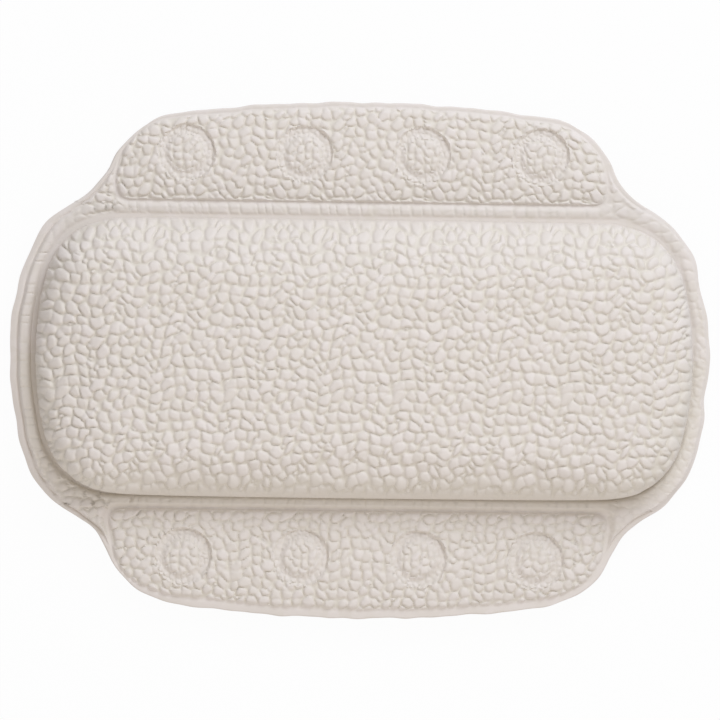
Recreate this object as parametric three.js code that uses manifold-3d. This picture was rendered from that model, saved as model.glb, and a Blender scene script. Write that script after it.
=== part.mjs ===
// Bath pillow: a foam cushion welded between an embossed vinyl cover and a plain vinyl back sheet, with a
// padded flap along each long edge. A flap folds about the pressed weld line that joins it to the cushion,
// and carries a row of suction cups on its back.
// Millimetres. The pillow lies on its back: +Z out of its front, +X along it, +Y toward the upper flap.
import * as THREE from 'three';
import { mergeVertices } from 'three/addons/utils/BufferGeometryUtils.js';
import Module from 'manifold-3d';

const wasm = await Module();
wasm.setup();

// Outline, seen from the front
const overallLength = 330;
const overallWidth = 243;
const endRadius = 165; // slow curve of the left and right ends
const shoulderRadius = 48; // round corners beside the cushion
const shoulderRise = 31; // centre of a shoulder's arc, off the long axis
const neckRadius = 41; // hollow between a shoulder and a flap
const flapCornerRadius = 41;
const flapCornerReach = 81; // centre of a flap corner's arc, off the cross axis
const flapEdgeRadius = 623; // slow curve of a flap's free edge
const foldReach = 71.7; // fold line, off the long axis

// Vinyl sheets and their welds
const coverThickness = 3; // embossed vinyl with its foam backing
const hemThickness = 1.2; // the same cover where a weld has pressed it
const backThickness = 0.8;
const hemWidth = 3.8;
const bandWidth = 3.6; // swollen strip between the hem and the cushion
const grooveWidth = 1; // weld that runs round the cushion
const weldLand = 0.45; // flat of the fold's weld, beside its bevel
const foldGap = 0.15; // half the opening between two bevelled edges at a fold

// Cushion
const cushionCornerRadius = 34;
const rollWidth = 36; // how far in the edge roll reaches
const rollHeight = 24; // top of the edge roll, above the seam
const rollPower = 2.3; // over 2 is squarer than an ellipse
const crownRise = 1.8; // swell of the middle over the edge roll
const backRollWidth = 30; // how far in the back swells before it lies flat

// Flaps
const padThickness = 2.8;
const panelCornerRadius = 11; // corners of a padded panel beside its fold
const panelRoll = 3.5; // how far in a panel's edge is rounded

// Suction cups
const cupCount = 4;
const cupEndMargin = 81.75; // centre of an outer cup, in from the pillow's end
const cupHeight = 10;
const cupRadius = 18;
const rimLand = 1.5;
const rimThickness = 0.9;
const dishDepth = 6.8;
const cupNeckRadius = 6;
const cupNeckHeight = 0.6;
const bellKneeRadius = 13.5; // how full the bell is outside, and the dish inside
const bellKneeDrop = 1;
const dishKneeRadius = 11.5;
const flangeRadius = 14;
const flangeThickness = 1.2;
const flangeMargin = 0.5; // flange left free outside its weld ring
const weldRingWidth = 4.9; // flat and slope of the ring printed through to the front
const weldRingSlope = 1.6;

// Clearance between a filling and the sheets round it
const fillingGap = 0.3;

// Facets
const endSteps = 5;
const cornerSteps = 5;
const foldSteps = 4;
const flapSideSteps = 11;
const rollSteps = 5;
const panelRollSteps = 3;
const backRollSteps = 3;
const crownStations = [0.45, 0.9]; // shares of the way from the edge roll to the spine
const cupFacets = 20;
const cupCurveSteps = 4;
const placeTolerance = 1e-9; // in arcs of the outline

// Planes and lines that follow from the sizes above
const seamZ = cupHeight + backThickness; // the two sheets meet here
const foldWeld = foldGap + hemThickness + weldLand;
const cushionInset = hemWidth + bandWidth + grooveWidth;
const cushionHalfWidth = foldReach - foldWeld - bandWidth - grooveWidth;
const spineHalf = overallLength / 2 - cushionInset - cushionHalfWidth;
const panelLine = foldReach + foldWeld;
const flapHeight = padThickness + fillingGap + coverThickness;
const cupPitch = (overallLength - 2 * cupEndMargin) / (cupCount - 1);
const cupRow = (panelLine + overallWidth / 2 - hemWidth) / 2;
const weldRingRadius = flangeRadius - flangeMargin;
const weldRingDepth = coverThickness - hemThickness;

// Outline: a quarter of it as tangent arcs, from the middle of the right end to the middle of the upper edge.
// Moving inward shrinks the bulging arcs and grows the hollow neck about the same centres.
function circlesMeet(first, second, firstRadius, secondRadius) {
  const apart = second.clone().sub(first);
  const gap = apart.length();
  const along = (firstRadius ** 2 - secondRadius ** 2 + gap ** 2) / (2 * gap);
  const aside = Math.sqrt(firstRadius ** 2 - along ** 2);
  const unit = apart.divideScalar(gap);
  const right = new THREE.Vector2(unit.y, -unit.x);
  return first.clone().addScaledVector(unit, along).addScaledVector(right, aside);
}

function heading(from, to) {
  return to.clone().sub(from).angle();
}

function makeOutlineArcs() {
  const end = new THREE.Vector2(overallLength / 2 - endRadius, 0);
  const shoulderRun = Math.sqrt((endRadius - shoulderRadius) ** 2 - shoulderRise ** 2);
  const shoulder = new THREE.Vector2(end.x + shoulderRun, shoulderRise);
  const edge = new THREE.Vector2(0, overallWidth / 2 - flapEdgeRadius);
  const cornerRun = Math.sqrt((flapEdgeRadius - flapCornerRadius) ** 2 - flapCornerReach ** 2);
  const corner = new THREE.Vector2(flapCornerReach, edge.y + cornerRun);
  const neck = circlesMeet(shoulder, corner, shoulderRadius + neckRadius, flapCornerRadius + neckRadius);
  const endTurn = heading(end, shoulder);
  const edgeTurn = heading(edge, corner);
  return [
    { centre: end, radius: endRadius, bulge: 1, from: 0, to: endTurn },
    { centre: shoulder, radius: shoulderRadius, bulge: 1, from: endTurn, to: heading(shoulder, neck) },
    { centre: neck, radius: neckRadius, bulge: -1, from: heading(neck, shoulder), to: heading(neck, corner) },
    { centre: corner, radius: flapCornerRadius, bulge: 1, from: heading(corner, neck), to: edgeTurn },
    { centre: edge, radius: flapEdgeRadius, bulge: 1, from: edgeTurn, to: Math.PI / 2 },
  ];
}

const outlineArcs = makeOutlineArcs();

function outlineTurn(place) {
  const index = Math.min(Math.floor(place), outlineArcs.length - 1);
  const arc = outlineArcs[index];
  return { arc, angle: THREE.MathUtils.lerp(arc.from, arc.to, place - index) };
}

function polar(centre, radius, angle) {
  return new THREE.Vector2(centre.x + radius * Math.cos(angle), centre.y + radius * Math.sin(angle));
}

function outlinePoint(place, inset) {
  const { arc, angle } = outlineTurn(place);
  return polar(arc.centre, arc.radius - arc.bulge * inset, angle);
}

function outlineNormal(place) {
  const { arc, angle } = outlineTurn(place);
  return arc.bulge > 0 ? angle : angle - Math.PI;
}

// The outline climbs all the way, so a height belongs to one place on it.
function outlinePlaceAt(height, inset) {
  let low = 0;
  let high = outlineArcs.length;
  while (high - low > placeTolerance) {
    const middle = (low + high) / 2;
    if (outlinePoint(middle, inset).y < height) low = middle;
    else high = middle;
  }
  return low;
}

function stretch(from, to, steps, pointAt) {
  return Array.from({ length: steps }, (_, step) => pointAt(THREE.MathUtils.lerp(from, to, step / steps)));
}

// Loops round the centre are four mirrored quarters, each of an end, a corner and half of a straight edge.
function centreLoop(endAndCorner, line) {
  const start = endAndCorner.at(-1).x;
  const edge = stretch(start, 0, foldSteps, (x) => new THREE.Vector2(x, line));
  const quarter = [...endAndCorner.slice(0, -1), ...edge, new THREE.Vector2(0, line)];
  const upper = [...quarter, ...quarter.slice(0, -1).reverse().map((p) => new THREE.Vector2(-p.x, p.y))];
  const lower = upper.slice(1, -1).reverse().map((p) => new THREE.Vector2(p.x, -p.y));
  return [...upper, ...lower];
}

// The cushion's corner arc touches the inset end curve and the straight edge, whatever their sizes.
const cushionCornerY = cushionHalfWidth - cushionCornerRadius;
const cushionCornerPlace = outlinePlaceAt(cushionCornerY, cushionInset + cushionCornerRadius);
const cushionCorner = outlinePoint(cushionCornerPlace, cushionInset + cushionCornerRadius);

function cushionLoop(grow) {
  const end = stretch(0, cushionCornerPlace, endSteps, (place) => outlinePoint(place, cushionInset - grow));
  const turn = outlineNormal(cushionCornerPlace);
  const radius = cushionCornerRadius + grow;
  const corner = stretch(turn, Math.PI / 2, cornerSteps, (angle) => polar(cushionCorner, radius, angle));
  return centreLoop([...end, ...corner, polar(cushionCorner, radius, Math.PI / 2)], cushionHalfWidth + grow);
}

function centreRimLoop(inset, line) {
  const last = outlinePlaceAt(line, inset);
  const pointAt = (place) => outlinePoint(place, inset);
  const end = stretch(0, cushionCornerPlace, endSteps, pointAt);
  const corner = stretch(cushionCornerPlace, last, cornerSteps, pointAt);
  return centreLoop([...end, ...corner, pointAt(last)], line);
}

// Loops round the upper flap are two mirrored halves, each of a straight fold edge, a corner and a side.
function flapLoop(line, cornerAndSide) {
  const edge = stretch(0, cornerAndSide[0].x, foldSteps, (x) => new THREE.Vector2(x, line));
  const half = [...edge, ...cornerAndSide];
  return [...half, ...half.slice(1, -1).reverse().map((p) => new THREE.Vector2(-p.x, p.y))];
}

const panelCornerInset = hemWidth + panelCornerRadius;
const panelCornerPlace = outlinePlaceAt(panelLine + panelCornerRadius, panelCornerInset);
const panelCorner = outlinePoint(panelCornerPlace, panelCornerInset);

function flapSide(inset) {
  const pointAt = (place) => outlinePoint(place, inset);
  const last = outlineArcs.length;
  return [...stretch(panelCornerPlace, last, flapSideSteps, pointAt), new THREE.Vector2(0, pointAt(last).y)];
}

function panelLoop(shrink) {
  const radius = panelCornerRadius - shrink;
  const turn = outlineNormal(panelCornerPlace);
  const corner = stretch(-Math.PI / 2, turn, cornerSteps, (angle) => polar(panelCorner, radius, angle));
  return flapLoop(panelLine + shrink, [...corner, ...flapSide(hemWidth + shrink)]);
}

function flapRimLoop(line) {
  const first = outlinePlaceAt(line, 0);
  const corner = stretch(first, panelCornerPlace, cornerSteps, (place) => outlinePoint(place, 0));
  return flapLoop(line, [...corner, ...flapSide(0)]);
}

// A ring is a loop lifted to a height. A skin is a closed body over rings that follow each other, from a
// flat underside at the first ring to a flat top at the last.
function lift(loop, z) {
  return loop.map((point) => new THREE.Vector3(point.x, point.y, z));
}

function skin(rings) {
  const count = rings[0].length;
  const positions = rings.flat().flatMap((point) => point.toArray());
  const faces = [];
  for (let ring = 0; ring + 1 < rings.length; ring += 1) {
    for (let here = 0; here < count; here += 1) {
      const next = (here + 1) % count;
      const low = ring * count;
      const high = low + count;
      faces.push(low + here, low + next, high + next);
      faces.push(low + here, high + next, high + here);
    }
  }
  const flat = (ring) => ring.map((point) => new THREE.Vector2(point.x, point.y));
  const topStart = (rings.length - 1) * count;
  for (const [a, b, c] of THREE.ShapeUtils.triangulateShape(flat(rings[0]), [])) faces.push(a, c, b);
  for (const [a, b, c] of THREE.ShapeUtils.triangulateShape(flat(rings.at(-1)), [])) {
    faces.push(topStart + a, topStart + b, topStart + c);
  }
  const geometry = new THREE.BufferGeometry();
  geometry.setAttribute('position', new THREE.Float32BufferAttribute(positions, 3));
  geometry.setIndex(faces);
  return geometry;
}

function toSolid(geometry) {
  const bare = geometry.clone();
  bare.deleteAttribute('normal');
  bare.deleteAttribute('uv');
  const merged = mergeVertices(bare);
  const vertProperties = new Float32Array(merged.attributes.position.array);
  const triVerts = new Uint32Array(merged.index.array);
  return new wasm.Manifold(new wasm.Mesh({ numProp: 3, vertProperties, triVerts }));
}

function toGeometry(solid) {
  const mesh = solid.getMesh();
  const geometry = new THREE.BufferGeometry();
  geometry.setAttribute('position', new THREE.BufferAttribute(new Float32Array(mesh.vertProperties), 3));
  geometry.setIndex(new THREE.BufferAttribute(new Uint32Array(mesh.triVerts), 1));
  return geometry;
}

// Cushion surfaces are rings drawn in from a loop toward a spine along the pillow.
function drawIn(loop, distance, z) {
  const share = distance / Math.max(...loop.map((point) => point.y));
  return loop.map((point) => {
    const spineX = THREE.MathUtils.clamp(point.x, -spineHalf, spineHalf);
    const x = THREE.MathUtils.lerp(point.x, spineX, share);
    return new THREE.Vector3(x, THREE.MathUtils.lerp(point.y, 0, share), z);
  });
}

// Front of the cushion, lowered by the thickness that lies over it: an edge roll and a slow crown.
function frontRings(depth, footZ) {
  const loop = cushionLoop(-depth);
  const halfWidth = cushionHalfWidth - depth;
  const topZ = seamZ + rollHeight - depth;
  const crownAt = (distance) => crownRise * (1 - (1 - distance / halfWidth) ** 2);
  const roll = Array.from({ length: rollSteps + 1 }, (_, step) => {
    const angle = (step / rollSteps) * (Math.PI / 2);
    const distance = rollWidth * (1 - Math.abs(Math.cos(angle)) ** (2 / rollPower));
    const rise = (topZ - footZ) * Math.sin(angle) ** (2 / rollPower);
    return drawIn(loop, distance, footZ + rise + crownAt(distance));
  });
  const crown = crownStations.map((share) => {
    const distance = THREE.MathUtils.lerp(rollWidth, halfWidth, share);
    return drawIn(loop, distance, topZ + crownAt(distance));
  });
  return [...roll, ...crown];
}

// Back of the cushion: the sheet swells from its weld to a flat that rests level with the cups' rims.
// What lies on the sheet starts at a distance from the weld, part way up the first facet.
function backRings(start, rise) {
  const facetWidth = backRollWidth / backRollSteps;
  const swellAt = (distance) => cupHeight * (1 - Math.cos((Math.PI * distance) / backRollWidth)) / 2;
  const foot = lift(cushionLoop(-start), seamZ - swellAt(facetWidth) * (start / facetWidth) + rise);
  const rings = Array.from({ length: backRollSteps }, (_, step) => {
    const distance = facetWidth * (step + 1);
    return drawIn(cushionLoop(0), distance, seamZ - swellAt(distance) + rise);
  });
  return [foot, ...rings];
}

function makeCentreCover() {
  const inside = frontRings(coverThickness, seamZ).reverse();
  const hemZ = seamZ + hemThickness;
  const bandOuter = centreRimLoop(hemWidth, foldReach - foldWeld);
  const bandInner = cushionLoop(grooveWidth);
  const bandCrest = bandOuter.map((point, index) => point.clone().lerp(bandInner[index], 0.5));
  return skin([
    ...inside,
    lift(centreRimLoop(0, foldReach - foldGap), seamZ),
    lift(centreRimLoop(0, foldReach - foldGap - hemThickness), hemZ),
    lift(bandOuter, hemZ),
    lift(bandCrest, seamZ + coverThickness),
    lift(bandInner, hemZ),
    ...frontRings(0, hemZ),
  ]);
}

function makeCentreCore() {
  const depth = coverThickness + fillingGap;
  const under = backRings(depth, fillingGap).reverse();
  return skin([...under, ...frontRings(depth, seamZ + fillingGap)]);
}

function makeCentreBack() {
  const under = backRings(0, -backThickness).reverse();
  return skin([
    ...under,
    lift(centreRimLoop(0, foldReach - foldGap - backThickness), seamZ - backThickness),
    lift(centreRimLoop(0, foldReach - foldGap), seamZ),
    ...backRings(0, 0),
  ]);
}

// A turned shape about +Z from a profile of radius and height.
function turned(profile, facets) {
  return new THREE.LatheGeometry(profile, facets).rotateX(Math.PI / 2);
}

function profilePoints(pairs) {
  return pairs.map(([radius, z]) => new THREE.Vector2(radius, z));
}

const cupPlaces = Array.from({ length: cupCount }, (_, index) => cupPitch * (index - (cupCount - 1) / 2));

// The weld ring of a cup presses the cover from the front and leaves a soft dome in its middle.
function makeWeldRingCutter() {
  const topZ = seamZ + flapHeight;
  const floorZ = topZ - weldRingDepth;
  const domeRadius = weldRingRadius - weldRingWidth;
  const above = topZ + weldRingDepth;
  const outline = profilePoints([
    [domeRadius - weldRingSlope, above],
    [domeRadius + weldRingSlope, floorZ],
    [weldRingRadius, floorZ],
    [weldRingRadius, above],
    [domeRadius - weldRingSlope, above],
  ]);
  return turned(outline, cupFacets);
}

function makeFlapCover() {
  const ceilingZ = seamZ + padThickness + fillingGap;
  const hemZ = seamZ + hemThickness;
  const inside = panelLoop(coverThickness);
  const roll = Array.from({ length: panelRollSteps + 1 }, (_, step) => {
    const angle = (step / panelRollSteps) * (Math.PI / 2);
    const rise = (flapHeight - hemThickness) * Math.sin(angle);
    return lift(panelLoop(panelRoll * (1 - Math.cos(angle))), hemZ + rise);
  });
  let cover = toSolid(skin([
    lift(inside, ceilingZ),
    lift(inside, seamZ),
    lift(flapRimLoop(foldReach + foldGap), seamZ),
    lift(flapRimLoop(foldReach + foldGap + hemThickness), hemZ),
    ...roll,
  ]));
  for (const x of cupPlaces) {
    cover = cover.subtract(toSolid(makeWeldRingCutter().translate(x, cupRow, 0)));
  }
  return toGeometry(cover);
}

function makeFlapPad() {
  const loop = panelLoop(coverThickness + fillingGap);
  return skin([lift(loop, seamZ), lift(loop, seamZ + padThickness)]);
}

function makeFlapBack() {
  return skin([
    lift(flapRimLoop(foldReach + foldGap + backThickness), seamZ - backThickness),
    lift(flapRimLoop(foldReach + foldGap), seamZ),
  ]);
}

// A cup hangs by its neck from the flange that is welded to the back sheet. Its bell flares to a flat rim.
function makeCup() {
  const flangeZ = cupHeight - flangeThickness;
  const neckZ = flangeZ - cupNeckHeight;
  const dishRadius = cupRadius - rimLand;
  const bellKnee = new THREE.Vector2(bellKneeRadius, neckZ - bellKneeDrop);
  const dishKnee = new THREE.Vector2(dishKneeRadius, dishDepth);
  const bell = new THREE.QuadraticBezierCurve(
    new THREE.Vector2(cupRadius, rimThickness), bellKnee, new THREE.Vector2(cupNeckRadius, neckZ));
  const dish = new THREE.QuadraticBezierCurve(
    new THREE.Vector2(0, dishDepth), dishKnee, new THREE.Vector2(dishRadius, 0));
  const profile = [
    ...dish.getPoints(cupCurveSteps),
    ...profilePoints([[cupRadius, 0]]),
    ...bell.getPoints(cupCurveSteps),
    ...profilePoints([
      [cupNeckRadius, flangeZ],
      [flangeRadius, flangeZ],
      [flangeRadius, cupHeight],
      [0, cupHeight],
    ]),
  ];
  return turned(profile, cupFacets);
}

// Finishes
function makeVinyl() {
  return new THREE.MeshStandardMaterial({ color: 0xdcd3cb, roughness: 0.6, metalness: 0 });
}

function makeFilm() {
  return new THREE.MeshStandardMaterial({ color: 0xe0d9d0, roughness: 0.45, metalness: 0 });
}

function makeFoam() {
  return new THREE.MeshStandardMaterial({ color: 0xefe6c8, roughness: 0.95, metalness: 0 });
}

function makeClearVinyl() {
  const look = { color: 0xe4e7e6, roughness: 0.2, metalness: 0, transparent: true, opacity: 0.6 };
  return new THREE.MeshStandardMaterial(look);
}

function piece(name, geometry, material) {
  const mesh = new THREE.Mesh(geometry, material);
  mesh.name = name;
  return mesh;
}

function makeCentre() {
  const centre = new THREE.Group();
  centre.add(piece('centre_front_cover', makeCentreCover(), makeVinyl()));
  centre.add(piece('centre_foam_core', makeCentreCore(), makeFoam()));
  centre.add(piece('centre_back_sheet', makeCentreBack(), makeFilm()));
  return centre;
}

// Both flaps are alike: the lower one is the upper one turned half round about the pillow's middle.
function makeFlap(side) {
  const flap = new THREE.Group();
  flap.add(piece(`${side}_flap_front_cover`, makeFlapCover(), makeVinyl()));
  flap.add(piece(`${side}_flap_foam_pad`, makeFlapPad(), makeFoam()));
  flap.add(piece(`${side}_flap_back_sheet`, makeFlapBack(), makeFilm()));
  cupPlaces.forEach((x, index) => {
    const cup = piece(`${side}_suction_cup_${index + 1}`, makeCup(), makeClearVinyl());
    cup.position.set(x, cupRow, 0);
    flap.add(cup);
  });
  return flap;
}

const pillow = new THREE.Group();
pillow.add(makeCentre());
pillow.add(makeFlap('upper'));
const lowerFlap = makeFlap('lower');
lowerFlap.rotation.z = Math.PI;
pillow.add(lowerFlap);

export default pillow;
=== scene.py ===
import math

import bmesh
import bpy
import numpy as np
from mathutils import Matrix, Vector


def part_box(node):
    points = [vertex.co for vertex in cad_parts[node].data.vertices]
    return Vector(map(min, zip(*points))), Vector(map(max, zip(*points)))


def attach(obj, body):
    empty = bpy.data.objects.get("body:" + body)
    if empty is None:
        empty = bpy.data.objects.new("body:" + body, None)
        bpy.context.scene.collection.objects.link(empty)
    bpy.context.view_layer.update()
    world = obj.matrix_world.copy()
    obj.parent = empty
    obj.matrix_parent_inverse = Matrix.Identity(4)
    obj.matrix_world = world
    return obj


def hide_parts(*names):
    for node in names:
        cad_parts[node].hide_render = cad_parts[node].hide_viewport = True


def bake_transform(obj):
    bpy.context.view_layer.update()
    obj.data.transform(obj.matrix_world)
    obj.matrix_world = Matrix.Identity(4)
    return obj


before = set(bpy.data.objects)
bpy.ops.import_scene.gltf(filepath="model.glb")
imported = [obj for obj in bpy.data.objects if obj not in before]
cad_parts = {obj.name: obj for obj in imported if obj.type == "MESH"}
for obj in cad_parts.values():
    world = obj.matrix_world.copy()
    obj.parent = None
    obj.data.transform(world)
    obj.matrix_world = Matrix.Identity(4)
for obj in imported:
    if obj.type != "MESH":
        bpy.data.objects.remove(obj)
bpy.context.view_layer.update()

# Filled bag: the middle of the pillow, a foam block welded shut between two vinyl sheets.
# It is modelled a little small and blown up by a cloth simulation, with its weld line held. The foam core,
# the embossed front and the plain back all take their shape from it.

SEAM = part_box("upper_flap_front_cover")[0].z
CUSHION_END, CUSHION_EDGE, CUSHION_CORNER = 0.1560, 0.0660, 0.036
BAG_END_STEPS, BAG_CORNER_STEPS = 8, 10
ROLL_WIDTH, ROLL_HEIGHT, ROLL_POWER = 0.026, 0.0238, 2.9
ROLL_SHARE, ROLL_STEPS = 0.98, 8
BACK_ROLL, BACK_LIFT, BACK_STEPS = 0.030, 0.0008, 5
CROWN, CROWN_FOOT, CROWN_START = 0.0008, 0.004, 0.08
SMALLER = 0.0010
VOXEL = 0.0038
HELD_HEIGHT, HELD_DEPTH = 0.003, 0.006
SWELL_FRAMES, SWELL_CAP = 20, 0.0012
SETTLE = (0.10, -0.12)
LEAST_HEIGHT = 0.0002

corner_y = CUSHION_EDGE - CUSHION_CORNER
corner_x = math.sqrt((CUSHION_END - CUSHION_CORNER) ** 2 - corner_y**2)
corner_turn = math.atan2(corner_y, corner_x)


def smooth(value, low, high):
    t = np.clip((value - low) / (high - low), 0, 1)
    return t * t * (3 - 2 * t)


def past_weld(x, y):
    """Plan distance out from the weld round the cushion, negative on the cushion."""
    px, py = np.abs(x), np.abs(y)
    across, along = px - corner_x, py - corner_y
    in_corner = (across > 0) & (along > across * math.tan(corner_turn))
    round_corner = np.hypot(across, along) - CUSHION_CORNER
    return np.where(in_corner, round_corner, np.maximum(py - CUSHION_EDGE, np.hypot(px, py) - CUSHION_END))


def points_of(mesh):
    flat = np.empty(len(mesh.vertices) * 3)
    mesh.vertices.foreach_get("co", flat)
    return flat.reshape(-1, 3)


def put_points(mesh, points):
    mesh.vertices.foreach_set("co", points.astype(np.float32).ravel())
    mesh.update()


def piece_from(bm, name):
    mesh = bpy.data.meshes.new(name)
    bm.to_mesh(mesh)
    bm.free()
    piece = bpy.data.objects.new(name, mesh)
    bpy.context.scene.collection.objects.link(piece)
    return piece


def apply_modifiers(piece):
    shown = piece.evaluated_get(bpy.context.evaluated_depsgraph_get())
    made = bpy.data.meshes.new_from_object(shown)
    piece.modifiers.clear()
    old = piece.data
    piece.data = made
    bpy.data.meshes.remove(old)


bm = bmesh.new()
tip = bm.verts.new((CUSHION_END - SMALLER, 0, SEAM))
turned = bmesh.ops.spin(bm, geom=[tip], cent=(0, 0, SEAM), axis=(0, 0, 1), angle=corner_turn,
                        steps=BAG_END_STEPS)
tip = [part for part in turned["geom_last"] if isinstance(part, bmesh.types.BMVert)][0]
turned = bmesh.ops.spin(bm, geom=[tip], cent=(corner_x, corner_y, SEAM), axis=(0, 0, 1),
                        angle=math.pi / 2 - corner_turn, steps=BAG_CORNER_STEPS)
tip = [part for part in turned["geom_last"] if isinstance(part, bmesh.types.BMVert)][0]
middle = bmesh.ops.extrude_vert_indiv(bm, verts=[tip])["verts"][0]
middle.co.x = 0
for axis in ("X", "Y"):
    bmesh.ops.mirror(bm, geom=bm.verts[:] + bm.edges[:], axis=axis, merge_dist=1e-5)
front = bmesh.ops.contextual_create(bm, geom=bm.edges[:])["faces"][0]
front.normal_update()
if front.normal.z < 0:
    bmesh.ops.reverse_faces(bm, faces=[front])
went_in, went_up = 0, 0
for angle in np.linspace(0, math.pi / 2, ROLL_STEPS + 1)[1:]:
    inset = ROLL_WIDTH * (1 - math.cos(angle) ** (2 / ROLL_POWER)) * ROLL_SHARE
    rise = ROLL_HEIGHT * math.sin(angle) ** (2 / ROLL_POWER)
    bmesh.ops.inset_region(bm, faces=[front], thickness=inset - went_in, depth=rise - went_up,
                           use_even_offset=True, use_boundary=True)
    went_in, went_up = inset, rise
back = bmesh.ops.contextual_create(bm, geom=[edge for edge in bm.edges if edge.is_boundary])["faces"][0]
back.normal_update()
if back.normal.z > 0:
    bmesh.ops.reverse_faces(bm, faces=[back])
went_in, went_up = 0, 0
for share in np.linspace(0, 1, BACK_STEPS + 1)[1:]:
    inset = BACK_ROLL * share
    drop = (SEAM - BACK_LIFT) * (1 - math.cos(math.pi * share)) / 2
    bmesh.ops.inset_region(bm, faces=[back], thickness=inset - went_in, depth=drop - went_up,
                           use_even_offset=True, use_boundary=True)
    went_in, went_up = inset, drop
bmesh.ops.recalc_face_normals(bm, faces=bm.faces[:])
bag = piece_from(bm, "filled_bag")
remesh = bag.modifiers.new("remesh", "REMESH")
remesh.mode = "VOXEL"
remesh.voxel_size = VOXEL
apply_modifiers(bag)

start = points_of(bag.data)
inside = -past_weld(start[:, 0], start[:, 1])
above = start[:, 2] > SEAM + CROWN_FOOT
share = np.clip(inside / CUSHION_EDGE, 0, 1)
start[:, 2] += np.where(above, CROWN * smooth(share, CROWN_START, 1.0), 0)
put_points(bag.data, start)

held = bag.vertex_groups.new(name="weld")
near_weld = (np.abs(start[:, 2] - SEAM) < HELD_HEIGHT) & (inside < HELD_DEPTH)
held.add([int(i) for i in np.flatnonzero(near_weld)], 1.0, "REPLACE")
cloth = bag.modifiers.new("vinyl", "CLOTH")
cloth.settings.vertex_group_mass = "weld"
cloth.settings.use_pressure = True
cloth.settings.uniform_pressure_force = 4
cloth.settings.mass = 0.3
cloth.settings.tension_stiffness = 40
cloth.settings.compression_stiffness = 40
cloth.settings.shear_stiffness = 20
cloth.settings.bending_stiffness = 2
cloth.settings.effector_weights.gravity = 0
for step in range(1, SWELL_FRAMES + 1):
    bpy.context.scene.frame_set(step)
apply_modifiers(bag)
bpy.context.scene.frame_set(1)
moved = points_of(bag.data) - start
far = np.linalg.norm(moved, axis=1, keepdims=True)
blown = start + moved * np.minimum(1, SWELL_CAP / np.maximum(far, 1e-9))
blown[:, 2] = np.maximum(blown[:, 2], LEAST_HEIGHT)
blown[:, :2] += np.maximum(blown[:, 2:] - SEAM, 0) * SETTLE
put_points(bag.data, blown)
bm = bmesh.new()
bm.from_mesh(bag.data)
for _ in range(2):
    bmesh.ops.smooth_vert(bm, verts=bm.verts[:], factor=0.5, use_axis_x=True, use_axis_y=True,
                          use_axis_z=True)
bm.to_mesh(bag.data)
bm.free()


def bag_half(name, front_side):
    """Copy of the filled bag, cut off at the weld."""
    bm = bmesh.new()
    bm.from_mesh(bag.data)
    bmesh.ops.bisect_plane(bm, geom=bm.verts[:] + bm.edges[:] + bm.faces[:], dist=1e-6, plane_co=(0, 0, SEAM),
                           plane_no=(0, 0, 1), clear_inner=front_side, clear_outer=not front_side)
    return piece_from(bm, name)


def subdivide(piece, levels):
    rounding = piece.modifiers.new("rounding", "SUBSURF")
    rounding.levels = levels
    rounding.render_levels = levels
    apply_modifiers(piece)


def shade(piece, material):
    piece.data.materials.clear()
    piece.data.materials.append(material)
    piece.data.polygons.foreach_set("use_smooth", np.ones(len(piece.data.polygons), bool))
    piece.data.update()


# Foam core: the block of open-cell foam that fills the cushion, cut to its shape and pressed in under the
# cover. It is never seen on a whole pillow.

FOAM_CLEAR = 0.0033
FOAM_COLOUR = (0.85, 0.78, 0.57, 1)


def new_finish(name):
    material = bpy.data.materials.new(name)
    material.use_nodes = True
    nodes = material.node_tree.nodes
    return material, nodes, material.node_tree.links, nodes["Principled BSDF"]


def foam_finish():
    """Pale yellow foam with small open cells."""
    material, nodes, links, shader = new_finish("open_cell_foam")
    shader.inputs["Roughness"].default_value = 0.95
    place = nodes.new("ShaderNodeTexCoord")
    cells = nodes.new("ShaderNodeTexVoronoi")
    cells.inputs["Scale"].default_value = 900
    tint = nodes.new("ShaderNodeMapRange")
    tint.inputs["To Min"].default_value = 0.82
    tint.inputs["To Max"].default_value = 1.0
    colour = nodes.new("ShaderNodeMix")
    colour.data_type = "RGBA"
    colour.blend_type = "MULTIPLY"
    colour.inputs["Factor"].default_value = 1
    colour.inputs["A"].default_value = FOAM_COLOUR
    dent = nodes.new("ShaderNodeBump")
    dent.inputs["Distance"].default_value = 0.0004
    dent.inputs["Strength"].default_value = 0.6
    links.new(place.outputs["Object"], cells.inputs["Vector"])
    links.new(cells.outputs["Distance"], tint.inputs["Value"])
    links.new(tint.outputs["Result"], colour.inputs["B"])
    links.new(colour.outputs["Result"], shader.inputs["Base Color"])
    links.new(cells.outputs["Distance"], dent.inputs["Height"])
    links.new(dent.outputs["Normal"], shader.inputs["Normal"])
    return material


foam = foam_finish()
bm = bmesh.new()
bm.from_mesh(bag.data)
core = piece_from(bm, "cushion_foam")
core_points = points_of(core.data)
core_normals = np.empty(len(core.data.vertices) * 3)
core.data.vertices.foreach_get("normal", core_normals)
put_points(core.data, core_points - core_normals.reshape(-1, 3) * FOAM_CLEAR)
subdivide(core, 1)
shade(core, foam)
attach(core, "cushion")
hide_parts("centre_foam_core")

# Front cover of the cushion: vinyl with a thin foam backing, embossed all over with low pebbles.
# The pebbles draw out long where the sheet is stretched over the edge roll, and fade out at the weld.

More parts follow.
